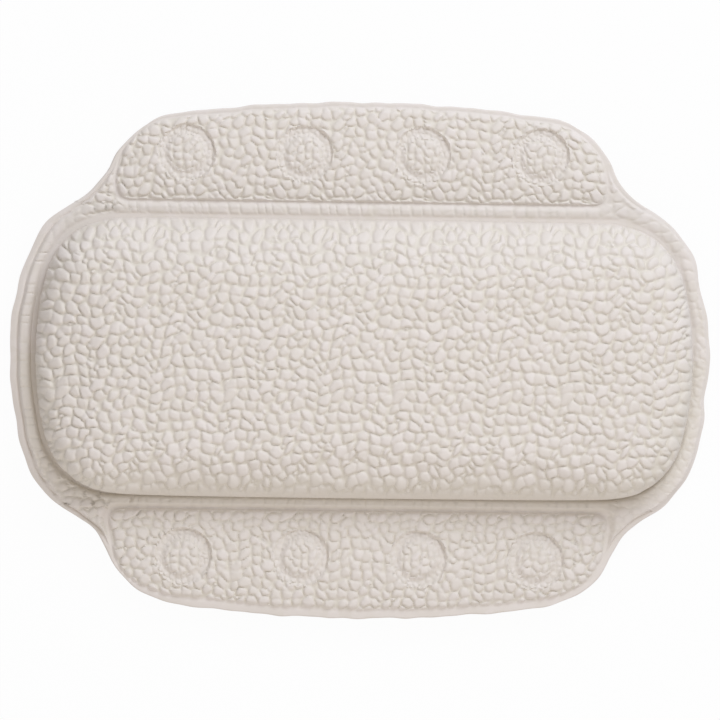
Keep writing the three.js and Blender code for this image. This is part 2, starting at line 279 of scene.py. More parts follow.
PEBBLE_PITCH_X, PEBBLE_PITCH_Y = 0.0056, 0.0049
PEBBLE_COLUMNS, PEBBLE_ROWS = 14, 34
PEBBLE_WANDER_X, PEBBLE_WANDER_Y, PEBBLE_SPREAD = 0.27, 0.20, 0.0006
PEBBLE_MISSING, PEBBLE_SPLIT, PEBBLE_JOINED = 0.015, 0.74, 0.88
SECOND_AWAY, SECOND_SMALLER = 0.5, 0.0007
PEBBLE_SQUARE, PEBBLE_WIDE, PEBBLE_RADIUS = 2.2, 1.12, 0.0030
PEBBLE_EDGE, PEBBLE_FAINT, FAINT_DEPTH = 0.00125, 0.40, 0.25
HOLLOW_START, HOLLOW_END, HOLLOW_DEPTH = 0.0023, 0.0036, 0.65
PEBBLE_HEIGHT, PEBBLE_LEVEL = 0.00122, 0.7
PEBBLE_FLOOR, PEBBLE_DOME, PEBBLE_LEAN, PEBBLE_UNEVEN = 0.72, 0.42, 0.5, 0.15
STRETCH_REACH, STRETCH_LEAST = 0.022, 0.76
PRINT_START, PRINT_END, PRINT_LOW, PRINT_HIGH = 0.0004, 0.004, 0.002, 0.009
# painted shade along the creases by the welds on the lower side: its strength, and how far it reaches in
CREASE_SHADE, CREASE_SHADE_START, CREASE_SHADE_CUSHION = 0.5, 0.003, 0.016
COVER_THICKNESS, LINING_CLEAR = 0.003, 0.0002
PATTERN_REPEAT = PEBBLE_PITCH_X * PEBBLE_COLUMNS
rng = np.random.default_rng(11)
row_shift = rng.random(PEBBLE_ROWS)
stone_x = 0.5 + rng.uniform(-PEBBLE_WANDER_X, PEBBLE_WANDER_X, (2, PEBBLE_ROWS, PEBBLE_COLUMNS))
stone_y = 0.5 + rng.uniform(-PEBBLE_WANDER_Y, PEBBLE_WANDER_Y, (2, PEBBLE_ROWS, PEBBLE_COLUMNS))
stone_size = rng.uniform(-PEBBLE_SPREAD, PEBBLE_SPREAD, (2, PEBBLE_ROWS, PEBBLE_COLUMNS))
stone_kind = rng.random((PEBBLE_ROWS, PEBBLE_COLUMNS))
stone_x[1] = stone_x[0] + rng.choice([-SECOND_AWAY, SECOND_AWAY], (PEBBLE_ROWS, PEBBLE_COLUMNS))
stone_y[1] = stone_y[0] + rng.choice([-SECOND_AWAY, SECOND_AWAY], (PEBBLE_ROWS, PEBBLE_COLUMNS))
stone_size[1] -= SECOND_SMALLER
stone_tone = rng.random((2, PEBBLE_ROWS, PEBBLE_COLUMNS))
stone_lean = rng.uniform(-1, 1, (2, 2, PEBBLE_ROWS, PEBBLE_COLUMNS))
stone_there = np.stack([stone_kind > PEBBLE_MISSING, stone_kind > PEBBLE_SPLIT])
stone_joined = stone_kind > PEBBLE_JOINED


def pebbles(x, y):
    """Relief, tone and top of the stones at points of the flat sheet.

    In a full groove relief and top are 0. On a stone top is 1 and relief is about 1.
    """
    # The rows wander, so that no line of stones runs straight.
    wave = x / PATTERN_REPEAT * 2 * math.pi
    y = y + 0.0009 * np.sin(3 * wave + 35 * y) + 0.0006 * np.sin(5 * wave + 2 - 60 * y)
    x = x + 0.0006 * np.sin(260 * y + 1)
    y = y + 0.00025 * np.sin(14 * wave + 500 * y)
    x = x + 0.00025 * np.sin(11 * wave + 1000 * y + 2)
    row = np.floor(y / PEBBLE_PITCH_Y).astype(int)

    def stones():
        for down in range(-2, 3):
            j = row + down
            jj = j % PEBBLE_ROWS
            column = np.floor(x / PEBBLE_PITCH_X - row_shift[jj]).astype(int)
            for over in range(-2, 3):
                i = column + over
                ii = i % PEBBLE_COLUMNS
                for kind in (0, 1):
                    sx = (i + row_shift[jj] + stone_x[kind, jj, ii]) * PEBBLE_PITCH_X
                    sy = (j + stone_y[kind, jj, ii]) * PEBBLE_PITCH_Y
                    across, along = np.abs(x - sx), PEBBLE_WIDE * np.abs(y - sy)
                    away = (across**PEBBLE_SQUARE + along**PEBBLE_SQUARE) ** (1 / PEBBLE_SQUARE)
                    away = np.where(stone_there[kind, jj, ii], away - stone_size[kind, jj, ii], 1.0)
                    yield kind, jj, ii, i * 1000 + j, sx, sy, away

    best = np.full(x.shape, 0.9)
    near = {key: np.zeros(x.shape) for key in ("x", "y", "tone", "lean_x", "lean_y")}
    near_cell = np.zeros(x.shape, int)
    near_joined = np.zeros(x.shape, bool)
    near_kind = np.zeros(x.shape, int)
    for kind, jj, ii, cell, sx, sy, away in stones():
        closer = away < best
        best = np.where(closer, away, best)
        near["x"] = np.where(closer, sx, near["x"])
        near["y"] = np.where(closer, sy, near["y"])
        near["tone"] = np.where(closer, stone_tone[kind, jj, ii], near["tone"])
        near["lean_x"] = np.where(closer, stone_lean[0, kind, jj, ii], near["lean_x"])
        near["lean_y"] = np.where(closer, stone_lean[1, kind, jj, ii], near["lean_y"])
        near_cell = np.where(closer, cell, near_cell)
        near_kind = np.where(closer, kind, near_kind)
        near_joined = np.where(closer, stone_joined[jj, ii], near_joined)
    # A groove lies halfway between a stone and each of its neighbours. Some grooves are faint.
    edge = np.ones(x.shape)
    for kind, jj, ii, cell, sx, sy, away in stones():
        same_stone = (cell == near_cell) & ((kind == near_kind) | near_joined)
        other = stone_tone[kind, jj, ii]
        faint = np.mod((near["tone"] + other) * 17.31 + near["tone"] * other * 31.7, 1.0) < PEBBLE_FAINT
        side = (1 - np.clip((away - best) / (2 * PEBBLE_EDGE), 0, 1)) ** 2
        edge = edge * np.where(same_stone, 1, 1 - np.where(faint, FAINT_DEPTH, 1) * side)
    edge = edge * (1 - HOLLOW_DEPTH * smooth(best, HOLLOW_START, HOLLOW_END))
    lean = (near["lean_x"] * (x - near["x"]) + near["lean_y"] * (y - near["y"])) / PEBBLE_PITCH_X
    dome = 1 - np.clip(best / PEBBLE_RADIUS, 0, 1) ** 2
    face = PEBBLE_FLOOR + PEBBLE_DOME * dome + PEBBLE_LEAN * lean + PEBBLE_UNEVEN * (near["tone"] - 0.5)
    return edge * face, near["tone"], edge


def add_tone(piece, tone, top):
    for name, values in (("tone", tone), ("top", top)):
        attribute = piece.data.attributes.new(name, "FLOAT", "POINT")
        attribute.data.foreach_set("value", values.astype(np.float32))


def cover_finish():
    """Matte cream vinyl: pinkish grey on the stones, with a painted shade, darker and more yellow, in the
    grooves and along the lower creases.
    """
    material, nodes, links, shader = new_finish("embossed_vinyl")
    shader.inputs["Specular IOR Level"].default_value = 0.35
    place = nodes.new("ShaderNodeTexCoord")
    tone = nodes.new("ShaderNodeAttribute")
    tone.attribute_name = "tone"
    top = nodes.new("ShaderNodeAttribute")
    top.attribute_name = "top"
    clouds = nodes.new("ShaderNodeTexNoise")
    clouds.inputs["Scale"].default_value = 60
    clouds.inputs["Detail"].default_value = 3
    stones = nodes.new("ShaderNodeValToRGB")
    stones.color_ramp.elements[0].color = (0.735, 0.688, 0.614, 1)
    stones.color_ramp.elements[1].color = (0.768, 0.718, 0.660, 1)
    stones.color_ramp.elements[0].position = 0.15
    stones.color_ramp.elements[1].position = 0.75
    blend = nodes.new("ShaderNodeMix")
    blend.inputs["Factor"].default_value = 0.5
    groove = nodes.new("ShaderNodeMix")
    groove.data_type = "RGBA"
    # painted shade: this darker, more yellow colour is mixed in where the top attribute is low, in the
    # grooves and along the lower creases by the welds
    groove.inputs["A"].default_value = (0.720, 0.678, 0.585, 1)
    links.new(place.outputs["Object"], clouds.inputs["Vector"])
    links.new(tone.outputs["Fac"], blend.inputs["A"])
    links.new(clouds.outputs["Fac"], blend.inputs["B"])
    links.new(blend.outputs["Result"], stones.inputs["Fac"])
    links.new(top.outputs["Fac"], groove.inputs["Factor"])
    links.new(stones.outputs["Color"], groove.inputs["B"])
    links.new(groove.outputs["Result"], shader.inputs["Base Color"])
    grain = nodes.new("ShaderNodeTexNoise")
    grain.inputs["Scale"].default_value = 2200
    grain.inputs["Detail"].default_value = 2
    bump = nodes.new("ShaderNodeBump")
    bump.inputs["Distance"].default_value = 0.00005
    bump.inputs["Strength"].default_value = 0.5
    shine = nodes.new("ShaderNodeMapRange")
    shine.inputs["To Min"].default_value = 0.48
    shine.inputs["To Max"].default_value = 0.62
    links.new(place.outputs["Object"], grain.inputs["Vector"])
    links.new(grain.outputs["Fac"], bump.inputs["Height"])
    links.new(bump.outputs["Normal"], shader.inputs["Normal"])
    links.new(clouds.outputs["Fac"], shine.inputs["Value"])
    links.new(shine.outputs["Result"], shader.inputs["Roughness"])
    return material


cover_vinyl = cover_finish()
cushion = bag_half("cushion_cover", True)
subdivide(cushion, 3)
skin = points_of(cushion.data)
normals = np.empty(len(cushion.data.vertices) * 3)
cushion.data.vertices.foreach_get("normal", normals)
normals = normals.reshape(-1, 3)
x, y = skin[:, 0], skin[:, 1]
depth = -past_weld(x, y)
steps = np.linspace(0, 0.04, 400)
give = (1 - STRETCH_LEAST) * (1 - smooth(steps, 0, STRETCH_REACH))
pulled = np.cumsum(give[::-1])[::-1] * (steps[1] - steps[0])
shift = np.interp(depth, steps, pulled)
over_corner = (np.abs(x) > corner_x) & (np.abs(y) - corner_y > (np.abs(x) - corner_x) * math.tan(corner_turn))
at_end = ~over_corner & (np.hypot(x, y) - CUSHION_END > np.abs(y) - CUSHION_EDGE)
out_x = np.where(over_corner, np.abs(x) - corner_x, np.where(at_end, np.abs(x), 0.0))
out_y = np.where(over_corner, np.abs(y) - corner_y, np.where(at_end, np.abs(y), 1.0))
length = np.maximum(np.hypot(out_x, out_y), 1e-9)
relief, tone, top = pebbles(x - np.sign(x) * out_x / length * shift, y - np.sign(y) * out_y / length * shift)
printed = smooth(depth, PRINT_START, PRINT_END) * smooth(skin[:, 2], SEAM + PRINT_LOW, SEAM + PRINT_HIGH)
# painted shade: the creases by the cushion's weld on its lower side, away from the key light, take the groove
# colour
painted_shade = CREASE_SHADE * (1 - smooth(depth, CREASE_SHADE_START, CREASE_SHADE_CUSHION)) * (y < 0)
put_points(cushion.data, skin + normals * (PEBBLE_HEIGHT * printed * (relief - PEBBLE_LEVEL))[:, None])
add_tone(cushion, tone, (1 - printed * (1 - top)) * (1 - painted_shade))
lining = bag_half("lining", True)
subdivide(lining, 1)
bm = bmesh.new()
bm.from_mesh(lining.data)
bm.normal_update()
for vert in bm.verts:
    at_weld = vert.is_boundary
    vert.co = vert.co - vert.normal * COVER_THICKNESS
    vert.co.z = SEAM if at_weld else max(vert.co.z, SEAM + LINING_CLEAR)
bmesh.ops.reverse_faces(bm, faces=bm.faces[:])
bm.from_mesh(cushion.data)
bmesh.ops.bridge_loops(bm, edges=[edge for edge in bm.edges if edge.is_boundary])
bm.to_mesh(cushion.data)
bm.free()
bpy.data.objects.remove(lining)
shade(cushion, cover_vinyl)
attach(cushion, "cushion")
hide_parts("centre_front_cover")

# Border and flaps: the same embossed cover beyond the cushion's weld. It is pressed thin at the hem and at
# the welds, swells in a narrow band round the cushion, and is padded in the flaps, which on the pillow bend
# at the fold; here they are laid flat.

END_RADIUS = 0.165
SHOULDER_RADIUS, SHOULDER_RISE = 0.048, 0.031
NECK_RADIUS = 0.041
FLAP_CORNER_RADIUS, FLAP_CORNER_REACH = 0.041, 0.081
FLAP_EDGE_RADIUS, FLAP_TOP = 0.623, 0.1219
FOLD = 0.0717
HEM_THICKNESS, HEM_ROUND = 0.0012, 0.0006
HEM_WIDTH, HEM_TAPER = 0.0023, 0.0011
TAPER_END, TAPER_GONE = 0.060, 0.076
NECK_SPOT, NECK_HEM, NECK_REACH = (0.122, 0.078), 0.0042, 0.013
CORNER_SPOT, CORNER_HEM, CORNER_REACH = (-0.104, 0.106), 0.0012, 0.020
LOWER_HEM, LOWER_HEM_START, LOWER_HEM_FULL = 0.0017, 0.102, 0.116
GROOVE_WIDTH = 0.0002
BAND_RISE, BAND_ROLL, BAND_SLOPE, BAND_TIGHT = 0.0008, 0.0015, 0.0036, 0.0024
TIGHT_RISE = 0.0014
HEM_SLOPE, HEM_SLOPE_WIDTH = 0.0007, 0.0034
HEM_PRESS, PANEL_PRESS, PRESS_WIDTH = 0.0008, 0.0003, 0.0006
PANEL_LINE = 0.0729
PANEL_CORNER = 0.0140
PANEL_RISE, PANEL_ROLL, PANEL_CROWN, PANEL_CROWN_REACH = 0.0012, 0.0019, 0.0020, 0.012
OUTER_START, OUTER_ROLL = -0.0006, 0.0024
FOLD_STRIP, FOLD_BEND = 0.0007, 0.0015
FLAP_STONES = {1: 0.95, -1: 0.94}
PATTERN_START = 0.4
RING_STONES, DOME_STONES = 0.50, 0.74
BRICK, BRICK_GAP, BRICK_DEPTH = 0.0058, 0.2, 0.6
NARROW_BAND, WIDE_BAND, BAND_TURN = 0.0055, 0.0075, 0.052
PANEL_PRINT, BAND_PRINT, BAND_PRINT_LESS = 0.92, 0.8, 0.45
CREASE_SHADE_BAND = 0.009
RING_X = [-0.08325, -0.02775, 0.02775, 0.08325]
RING_OFF, RING_ROW = 0.0004, 0.0953
RING_RADIUS, RING_DOME, RING_CROWN = 0.0136, 0.0085, 0.0005
DOME_SLOPE, RING_LIP, RING_SLOPE, RING_UNEVEN = 0.0014, 0.0003, 0.0020, 0.0013
RING_SUNK, RING_TILT, RING_LIGHTER, RING_AIM = 0.0013, 0.0004, 0.0001, 0.8
RING_MARK, RING_GIRTH = 0.00010, 0.0105
DOME_PRINT, FLOOR_PRINT_LESS = 0.85, 0.37
PAD_THICKNESS, PAD_MARGIN, PAD_ROUND, PAD_SQUEEZE = 0.0018, 0.0014, 0.0050, 0.0011
SQUEEZE_START, SQUEEZE_END = 0.001, 0.005
BORDER_STEP, CORNER_LENGTH, FOLD_HALF = 0.00052, 0.062, 0.138
SIDE_TOP, SIDE_CROWDING = 3.55, 0.10
TUCK = 0.003
EDGE_DROP, EDGE_DROP_START, EDGE_SHIFT = 0.0021, 0.03, 0.0013
FOLD_TRIM = 0.136
WANDERS = [(0.00022, 23, 0.7), (0.00018, 41, 2.1), (0.00012, 67, 0)]
TRIMS = [
    (-0.1575, 0.049, -0.0011, 0.008), (-0.162, -0.031, -0.0010, 0.007), (0.161, 0.035, -0.0009, 0.007),
    (0.164, -0.017, -0.0009, 0.008), (0.123, 0.083, -0.0012, 0.007), (-0.116, 0.097, -0.0006, 0.015),
    (-0.123, -0.082, -0.0006, 0.010), (-0.116, -0.098, -0.0006, 0.010), (0.115, -0.097, 0.0014, 0.014),
    (0.138, -0.074, -0.0006, 0.007),
]
COARSE = 4


def make_arcs():
    """The trimmed edge from the right end to the top: centre, radius, first and last angle of each arc."""
    shoulder_x = math.sqrt((END_RADIUS - SHOULDER_RADIUS) ** 2 - SHOULDER_RISE**2)
    edge_y = FLAP_TOP - FLAP_EDGE_RADIUS
    corner_up = edge_y + math.sqrt((FLAP_EDGE_RADIUS - FLAP_CORNER_RADIUS) ** 2 - FLAP_CORNER_REACH**2)
    apart = math.hypot(FLAP_CORNER_REACH - shoulder_x, corner_up - SHOULDER_RISE)
    one, two = SHOULDER_RADIUS + NECK_RADIUS, FLAP_CORNER_RADIUS + NECK_RADIUS
    along = (one**2 - two**2 + apart**2) / (2 * apart)
    aside = math.sqrt(one**2 - along**2)
    ux, uy = (FLAP_CORNER_REACH - shoulder_x) / apart, (corner_up - SHOULDER_RISE) / apart
    neck_x, neck_y = shoulder_x + ux * along + uy * aside, SHOULDER_RISE + uy * along - ux * aside
    end_turn = math.atan2(SHOULDER_RISE, shoulder_x)
    edge_turn = math.atan2(corner_up - edge_y, FLAP_CORNER_REACH)
    to_neck = math.atan2(neck_y - SHOULDER_RISE, neck_x - shoulder_x)
    from_corner = math.atan2(neck_y - corner_up, neck_x - FLAP_CORNER_REACH)
    return [
        (0, 0, END_RADIUS, 0, end_turn),
        (shoulder_x, SHOULDER_RISE, SHOULDER_RADIUS, end_turn, to_neck),
        (neck_x, neck_y, NECK_RADIUS, to_neck + math.pi, from_corner + math.pi),
        (FLAP_CORNER_REACH, corner_up, FLAP_CORNER_RADIUS, from_corner, edge_turn),
        (0, edge_y, FLAP_EDGE_RADIUS, edge_turn, math.pi / 2),
    ]


OUTLINE = make_arcs()


def rim(place):
    """Points of the trimmed edge. Place counts arcs from the right end up."""
    place = np.asarray(place, float)
    index = np.minimum(place.astype(int), len(OUTLINE) - 1)
    arcs = np.array(OUTLINE)[index]
    angle = arcs[:, 3] + (arcs[:, 4] - arcs[:, 3]) * (place - index)
    outward = np.stack([np.cos(angle), np.sin(angle)], 1)
    return arcs[:, :2] + outward * arcs[:, 2:3]


def rim_place(height):
    """Place on the trimmed edge where it reaches a height in the plan."""
    low, high = 0.0, float(len(OUTLINE))
    for _ in range(50):
        middle = (low + high) / 2
        if rim([middle])[0, 1] < height:
            low = middle
        else:
            high = middle
    return low


def in_from_rim(x, y):
    """Plan distance in from the trimmed edge."""
    px, py = np.abs(x), np.abs(y)
    nearest = np.full(px.shape, 1.0)
    for cx, cy, radius, first, last in OUTLINE:
        angle = np.mod(np.arctan2(py - cy, px - cx), 2 * math.pi)
        angle = np.clip(angle, min(first, last), max(first, last))
        away = np.hypot(px - cx - radius * np.cos(angle), py - cy - radius * np.sin(angle))
        nearest = np.minimum(nearest, away)
    return nearest


def evenly(points, count):
    """The same line with points spaced evenly along it."""
    along = np.concatenate([[0], np.cumsum(np.hypot(*np.diff(points, axis=0).T))])
    at = np.linspace(0, along[-1], count + 1)
    return np.stack([np.interp(at, along, points[:, k]) for k in (0, 1)], 1)


def mirrored(points):
    """A line from the right end to the middle, carried on to the left end."""
    return np.concatenate([points, (points * (-1, 1))[-2::-1]])


def around(x, y, spot, reach):
    """1 at a spot of the plan, fading to 0 about it."""
    return np.exp(-((x - spot[0]) ** 2 + (y - spot[1]) ** 2) / reach**2)


def trimmed(points, half):
    """The hand-trimmed edge wanders a little off its pattern, except along a fold."""
    x, y = points[:, 0], half * points[:, 1]
    turn = np.arctan2(y, x)
    wander = sum(out * np.sin(waves * turn + start) for out, waves, start in WANDERS)
    for cut_x, cut_y, out, reach in TRIMS:
        wander = wander + out * around(x, y, (cut_x, cut_y), reach)
    wander = np.where(np.abs(points[:, 1] - FOLD) < 1e-6, wander * (np.abs(x) > FOLD_TRIM), wander)
    length = np.hypot(x, y)
    return points + points / length[:, None] * wander[:, None] - (EDGE_SHIFT, 0)


def across(outer, inner, shares):
    return outer[None] + (inner - outer)[None] * shares[:, None, None]


corner_place = corner_turn / OUTLINE[0][4]
across_steps = 5 * COARSE
side_steps = 25 * COARSE
end_steps = COARSE * round(END_RADIUS * corner_turn / BORDER_STEP / COARSE)
corner_steps = COARSE * round(CORNER_LENGTH / BORDER_STEP / COARSE)
fold_steps = 2 * COARSE * round(FOLD_HALF / BORDER_STEP / COARSE)
row_share = np.linspace(0, 1, side_steps + 1)
row_share = row_share - SIDE_CROWDING * np.sin(2 * math.pi * row_share) / (2 * math.pi) * 4 * (1 - row_share)


def at_rows(line):
    shares = np.linspace(0, 1, len(line))
    return np.stack([np.interp(row_share, shares, line[:, k]) for k in (0, 1)], 1)[:, None]


def flap_patch(right, left, edge, fold):
    """Points spread between a flap's fold, its two ends and its free edge."""
    v = row_share[:, None, None]
    u = np.linspace(0, 1, fold.shape[0])[None, :, None]
    right, left = at_rows(right), at_rows(left)
    low_corners = (1 - u) * right[0, 0] + u * left[0, 0]
    high_corners = (1 - u) * right[-1, 0] + u * left[-1, 0]
    corners = (1 - v) * low_corners + v * high_corners
    return (1 - v) * fold[None] + v * edge[None] + (1 - u) * right + u * left - corners


def dropped(y, drop):
    """How far the trimmed edge lies from its pattern, fading to nothing on the pillow's long axis."""
    return drop * smooth(y, 0, EDGE_DROP_START)


def rim_line(first, last, count, drop):
    """Evenly spaced points of the trimmed edge between two places."""
    line = rim(np.linspace(first, last, 400))
    line[:, 1] -= dropped(line[:, 1], drop)
    return evenly(line, count)


def border_plan(half, cut, tuck):
    """Plan points of the strip round half the cushion and of the flap beyond its fold, row by row."""
    drop = half * EDGE_DROP
    fold_place = rim_place(FOLD + drop)
    outer_end = rim_line(0, corner_place, end_steps, drop)
    outer_corner = rim_line(corner_place, fold_place, corner_steps, drop)
    fold_x = outer_corner[-1, 0]
    turns = np.linspace(0, corner_turn, end_steps + 1)
    inner_end = np.stack([np.cos(turns), np.sin(turns)], 1) * (CUSHION_END - tuck)
    turns = np.linspace(corner_turn, math.pi / 2, corner_steps + 1)
    inner_corner = np.stack([np.cos(turns), np.sin(turns)], 1) * (CUSHION_CORNER - tuck)
    inner_corner = inner_corner + (corner_x, corner_y)
    level = np.ones(fold_steps // 2 + 1)
    fold_half = np.stack([np.linspace(fold_x, 0, fold_steps // 2 + 1), FOLD * level], 1)
    inner_half = np.stack([np.linspace(corner_x, 0, fold_steps // 2 + 1), (CUSHION_EDGE - tuck) * level], 1)
    outer = mirrored(np.concatenate([outer_end, outer_corner[1:], fold_half[1:]]))
    inner = mirrored(np.concatenate([inner_end, inner_corner[1:], inner_half[1:]]))
    right = rim_line(fold_place, SIDE_TOP, side_steps, drop)
    left = right * (-1, 1)
    edge = mirrored(rim_line(SIDE_TOP, len(OUTLINE), fold_steps // 2, drop))
    fold = mirrored(fold_half)
    if cut:
        outer, right, left, edge = (trimmed(line, half) for line in (outer, right, left, edge))
        fold = outer[end_steps + corner_steps: end_steps + corner_steps + fold_steps + 1]
    strip = across(outer, inner, np.linspace(0, 1, across_steps + 1))
    return strip, flap_patch(right, left, edge, fold)


def quarter_round(t):
    t = np.clip(t, 0, 1)
    return np.sqrt(1 - (1 - t) ** 2)


def weld_lines(x, y, half):
    """Plan distances in from the trimmed edge, from the hem and from the flap's weld, and out from the
    cushion's weld, with how much the flap's weld there is the one beside the fold."""
    edge = in_from_rim(x, y + dropped(y, half * EDGE_DROP))
    hem = HEM_WIDTH - HEM_TAPER * x / END_RADIUS * (1 - smooth(y, TAPER_END, TAPER_GONE))
    hem = hem - CORNER_HEM * around(x, y, CORNER_SPOT, CORNER_REACH)
    hem = hem + (LOWER_HEM * smooth(y, LOWER_HEM_START, LOWER_HEM_FULL) if half < 0 else 0)
    from_hem = edge - hem - NECK_HEM * around(np.abs(x), y, NECK_SPOT, NECK_REACH)
    from_fold = y - PANEL_LINE
    nearer = np.minimum(from_hem, from_fold)
    short = np.hypot(np.maximum(PANEL_CORNER - from_hem, 0), np.maximum(PANEL_CORNER - from_fold, 0))
    panel = np.where(nearer > PANEL_CORNER, nearer, PANEL_CORNER - short)
    return edge, edge - hem, panel, past_weld(x, y), smooth(from_hem - from_fold, -0.004, 0.004)


def press_line(distance):
    return np.exp(-((distance / PRESS_WIDTH) ** 2))


def cover_height(x, y, pattern_x, pattern_y, half):
    """Height of the cover over the seam beyond the cushion's weld, with its tone and its stones' tops."""
    edge, from_hem, panel, weld, by_fold = weld_lines(x, y, half)
    inner, outer = weld - GROOVE_WIDTH, np.minimum(from_hem, -panel - FOLD_STRIP)
    band = np.minimum(inner, outer)
    # Hem, and the padded panel of the flap.
    height = HEM_THICKNESS * quarter_round(edge / HEM_ROUND + 0.2)
    sides = by_fold * quarter_round(panel / PANEL_ROLL)
    sides = sides + (1 - by_fold) * smooth(panel, OUTER_START, OUTER_ROLL)
    height = height + PANEL_RISE * sides
    height = height + PANEL_CROWN * (1 - np.exp(-np.maximum(panel, 0) / PANEL_CROWN_REACH))
    # Band round the cushion, slack toward the upper right and drawn tight toward the lower left.
    slack = smooth(x / CUSHION_END + 1.6 * half * y / CUSHION_EDGE, -0.8, 0.8)
    gentle = np.sin(math.pi / 2 * np.clip(inner / BAND_SLOPE, 0, 1))
    swell = quarter_round(from_hem / BAND_ROLL) * smooth(-panel - FOLD_STRIP, 0, 0.0024)
    swell = swell * (slack * gentle + (1 - slack) * quarter_round(inner / BAND_TIGHT))
    height = height + (BAND_RISE + TIGHT_RISE * (1 - slack)) * swell
    # Toward the left end the hem slopes down and is pressed deeper.
    left = 0.5 - 0.5 * x / END_RADIUS
    off_panel = smooth(-panel, 0.001, 0.004)
    height = height - HEM_SLOPE * left**2 * (1 - smooth(from_hem, -HEM_SLOPE_WIDTH, 0.0)) * off_panel
    height = height - HEM_PRESS * left * press_line(from_hem) * off_panel
    height = height - PANEL_PRESS * left * (1 - by_fold) * press_line(panel)
    # Stones on the flap, and brick-like marks where the band is narrow.
    relief, tone, top = pebbles(pattern_x / FLAP_STONES[half], pattern_y / FLAP_STONES[half])
    along = np.where(y > BAND_TURN, x, half * y)
    brick = along / BRICK + 0.33 * np.sin(190 * along + 1.3 + half) + 0.22 * np.sin(417 * along)
    brick = 1 - BRICK_DEPTH * (1 - np.clip(np.abs(brick - np.round(brick)) / BRICK_GAP, 0, 1)) ** 2
    narrow = smooth(-inner - outer, -WIDE_BAND, -NARROW_BAND) * (band > 0)
    relief, top = relief + narrow * (brick - relief), top + narrow * (brick - top)
    band_print = BAND_PRINT - BAND_PRINT_LESS * smooth(x / CUSHION_END, 0.3, 0.9)
    printed = PANEL_PRINT * smooth(panel, 0.0000, 0.0012)
    printed = printed + band_print * smooth(band, 0.0002, 0.0013)
    # Rings that the cups' welds print: a sunk floor round a low dome, with smaller stones on both.
    for ring_x in RING_X:
        from_x, from_y = x - ring_x - RING_OFF, y - RING_ROW
        out = np.hypot(from_x, from_y)
        turn = np.arctan2(from_y, from_x)
        steep = np.cos(turn - half * RING_AIM)
        floor = smooth(out, RING_DOME - DOME_SLOPE, RING_DOME + DOME_SLOPE)
        floor = floor * smooth(-out, -RING_RADIUS - RING_LIP, -RING_RADIUS + RING_SLOPE - RING_UNEVEN * steep)
        sunk = RING_SUNK - RING_LIGHTER * half + RING_TILT * steep
        height = height - sunk * floor + RING_CROWN * np.clip(1 - (out / RING_DOME) ** 2, 0, 1)
        fine = np.sin(43 * turn + 3.0 * np.sin(4 * turn + ring_x * 300) + 900 * out)
        height = height + RING_MARK * floor * fine * smooth(np.sin(3 * turn + 200 * ring_x), -0.4, 0.8)
        inside = out < RING_RADIUS
        printed = np.where(inside, printed * (DOME_PRINT - FLOOR_PRINT_LESS * floor), printed)
        pressed_x = np.where(out > RING_DOME, RING_GIRTH * turn / RING_STONES, from_x / DOME_STONES)[inside]
        pressed_y = np.where(out > RING_DOME, out / RING_STONES, from_y / DOME_STONES)[inside]
        relief[inside], tone[inside], top[inside] = pebbles(pressed_x + 3 * ring_x, pressed_y + 0.7)
    height = height + PEBBLE_HEIGHT * printed * (relief - PEBBLE_LEVEL)
    # painted shade: on the lower half the creases beside the cushion's weld take the groove colour
    painted_shade = CREASE_SHADE * (1 - smooth(weld, CREASE_SHADE_START, CREASE_SHADE_BAND)) * (half < 0)
    return np.maximum(height, 0.0003), tone, (1 - np.clip(printed, 0, 1) * (1 - top)) * (1 - painted_shade)


def lay_grid(bm, plan, half, height):
    """A grid of faces over plan points, with a height for each."""
    rows, columns = plan.shape[:2]
    made = bmesh.ops.create_grid(bm, x_segments=columns - 1, y_segments=rows - 1, size=1)["verts"]
    for vert, place, z in zip(made, plan.reshape(-1, 2), height.ravel()):
        vert.co = (place[0], half * place[1], z)
    return made


def border_shell(name, half, tuck, fine, seen, hidden):
    """Closed piece in the plan of the border and a flap, fine on the side that shows and coarse behind."""
    bm = bmesh.new()
    layers = [bm.verts.layers.float.new(key) for key in ("tone", "top")]
    plans = list(zip(border_plan(half, False, tuck), border_plan(half, True, tuck)))
    for plain, cut in plans:
        plain, cut = plain[::fine, ::fine], cut[::fine, ::fine]
        height, *looks = seen(plain, cut, half)
        made = lay_grid(bm, cut, half, height)
        for layer, values in zip(layers, looks):
            for vert, value in zip(made, values.ravel()):
                vert[layer] = value
    bmesh.ops.remove_doubles(bm, verts=bm.verts[:], dist=2e-5)
    rim_edges = [edge for edge in bm.edges if edge.is_boundary]
    skirt = bmesh.ops.extrude_edge_only(bm, edges=rim_edges)["geom"]
    for edge in rim_edges:
        edge.smooth = False
    hidden_heights = [hidden(plain[::COARSE, ::COARSE], half) for plain, cut in plans]
    for part in skirt:
        if isinstance(part, bmesh.types.BMVert):
            part.co.z = hidden_heights[0][0, 0]
    for (plain, cut), height in zip(plans, hidden_heights):
        lay_grid(bm, cut[::COARSE, ::COARSE], half, height)
    bmesh.ops.remove_doubles(bm, verts=bm.verts[:], dist=2e-5)
    bmesh.ops.holes_fill(bm, edges=[edge for edge in bm.edges if edge.is_boundary], sides=0)
    bmesh.ops.recalc_face_normals(bm, faces=bm.faces[:])
    for edge in bm.edges:
        edge.smooth = edge.smooth and edge.calc_face_angle(0) < 0.9
    return piece_from(bm, name)


def embossed(plain, cut, half):
    pattern_x, pattern_y = cut[..., 0], half * cut[..., 1] + PATTERN_START
    height, tone, top = cover_height(plain[..., 0], plain[..., 1], pattern_x, pattern_y, half)
    return SEAM + height, tone, top


